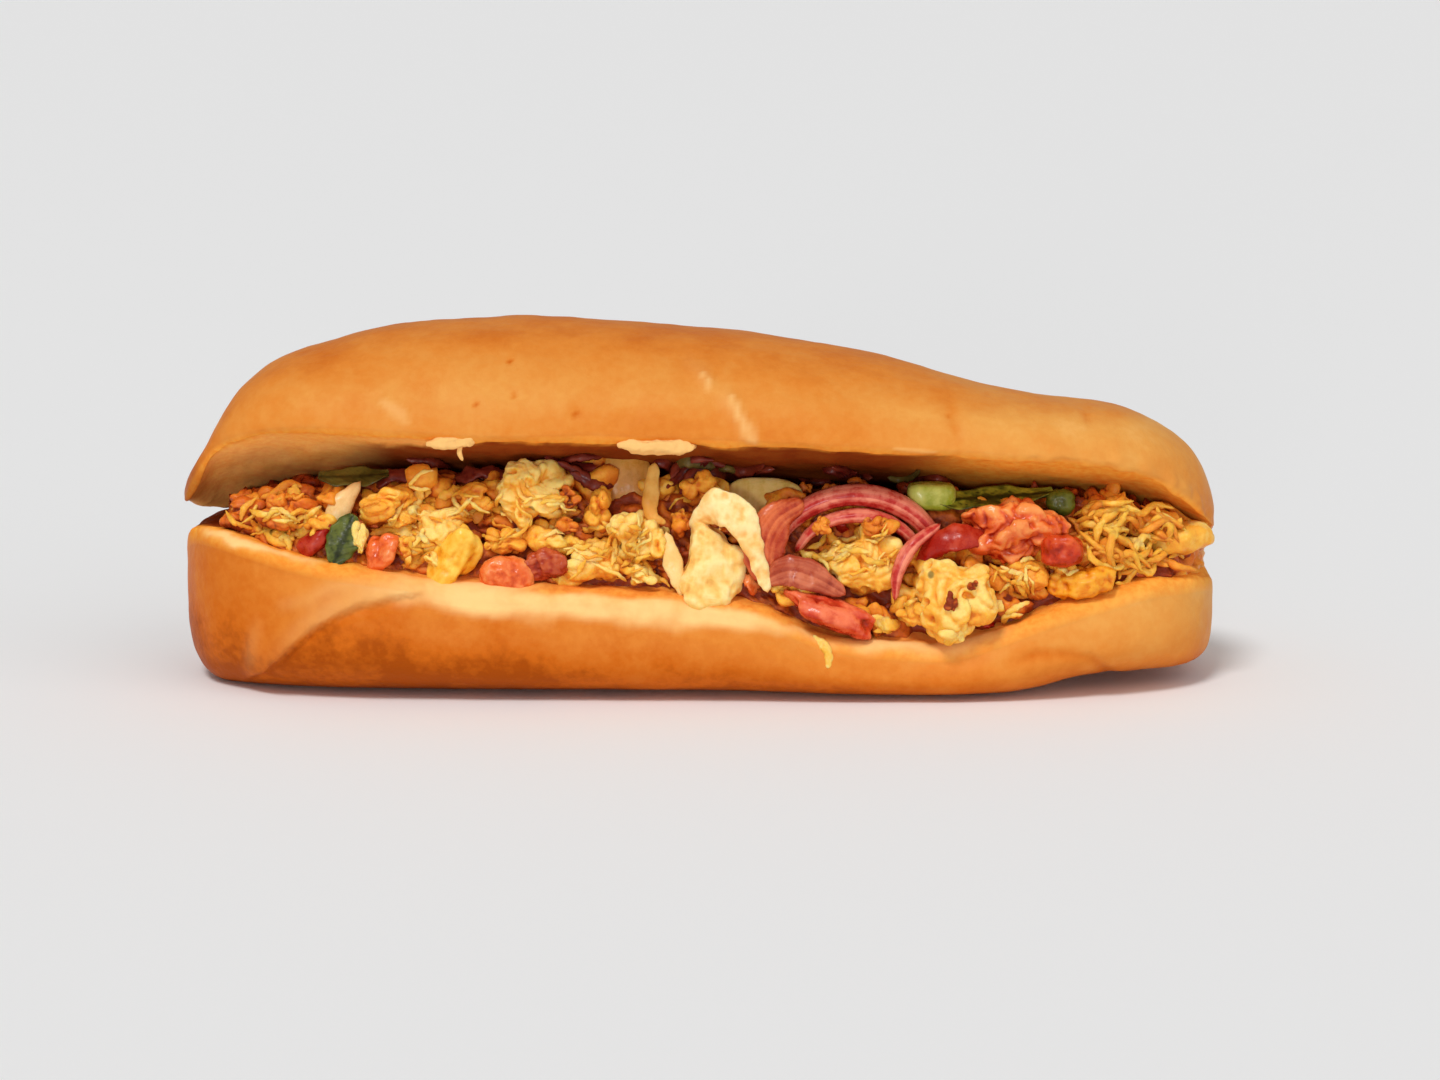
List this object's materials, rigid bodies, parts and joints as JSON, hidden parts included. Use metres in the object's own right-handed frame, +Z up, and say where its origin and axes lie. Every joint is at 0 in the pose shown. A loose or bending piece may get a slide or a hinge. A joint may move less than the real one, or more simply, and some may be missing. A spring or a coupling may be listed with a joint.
{
  "type": "shakshuka sandwich",
  "caption": "Long soft bread roll slit along its front and filled with scrambled egg, tomato, onion, pepper and herbs.",
  "frame": {"origin": "on the ground below the middle of the roll, on the flat of its underside", "axes": "+X along the roll, to the right of someone who faces the open mouth; +Y from the mouth to the closed back; +Z up"},
  "size_m": [0.21, 0.0761, 0.0729],
  "materials": {
    "crust": "soft baked crust, satin, browner at its edges",
    "egg": "moist scrambled egg",
    "omelette": "pale cooked egg, satin",
    "tomato": "wet cooked tomato",
    "tomato_skin": "deep red tomato skin, wet",
    "pink_onion": "translucent cooked red onion",
    "dark_onion": "dark red onion skin",
    "white_onion": "translucent cooked white onion",
    "yellow_pepper": "cooked yellow pepper",
    "green_pepper": "cooked green pepper",
    "herb": "wilted green leaf, slightly glossy"
  },
  "bodies": {
    "root": {"roll": "crust", "egg_scramble": "egg", "egg_white_block": "omelette", "omelette_strip": "omelette", "omelette_corner": "omelette", "omelette_fold": "omelette", "tomato_left": "tomato", "tomato_middle": "tomato", "tomato_lip": "tomato", "tomato_chunk": "tomato", "tomato_left_end": "tomato_skin", "tomato_skin_middle": "tomato_skin", "tomato_skin": "tomato_skin", "tomato_heart": "tomato_skin", "onion_wall": "pink_onion", "onion_petal": "pink_onion", "onion_ring_outer": "pink_onion", "onion_ring_inner": "pink_onion", "onion_arc_right": "pink_onion", "red_onion_sliver_left": "dark_onion", "red_onion_sliver_middle": "dark_onion", "white_onion_finger": "white_onion", "white_onion_slice_left": "white_onion", "white_onion_slice_right": "white_onion", "yellow_pepper_left": "yellow_pepper", "yellow_pepper_right": "yellow_pepper", "green_pepper_piece": "green_pepper", "herb_leaf_left": "herb", "herb_leaf_upper_left": "herb", "herb_leaf_right": "herb", "herb_leaf_right_end": "herb"}
  },
  "joints": []
}
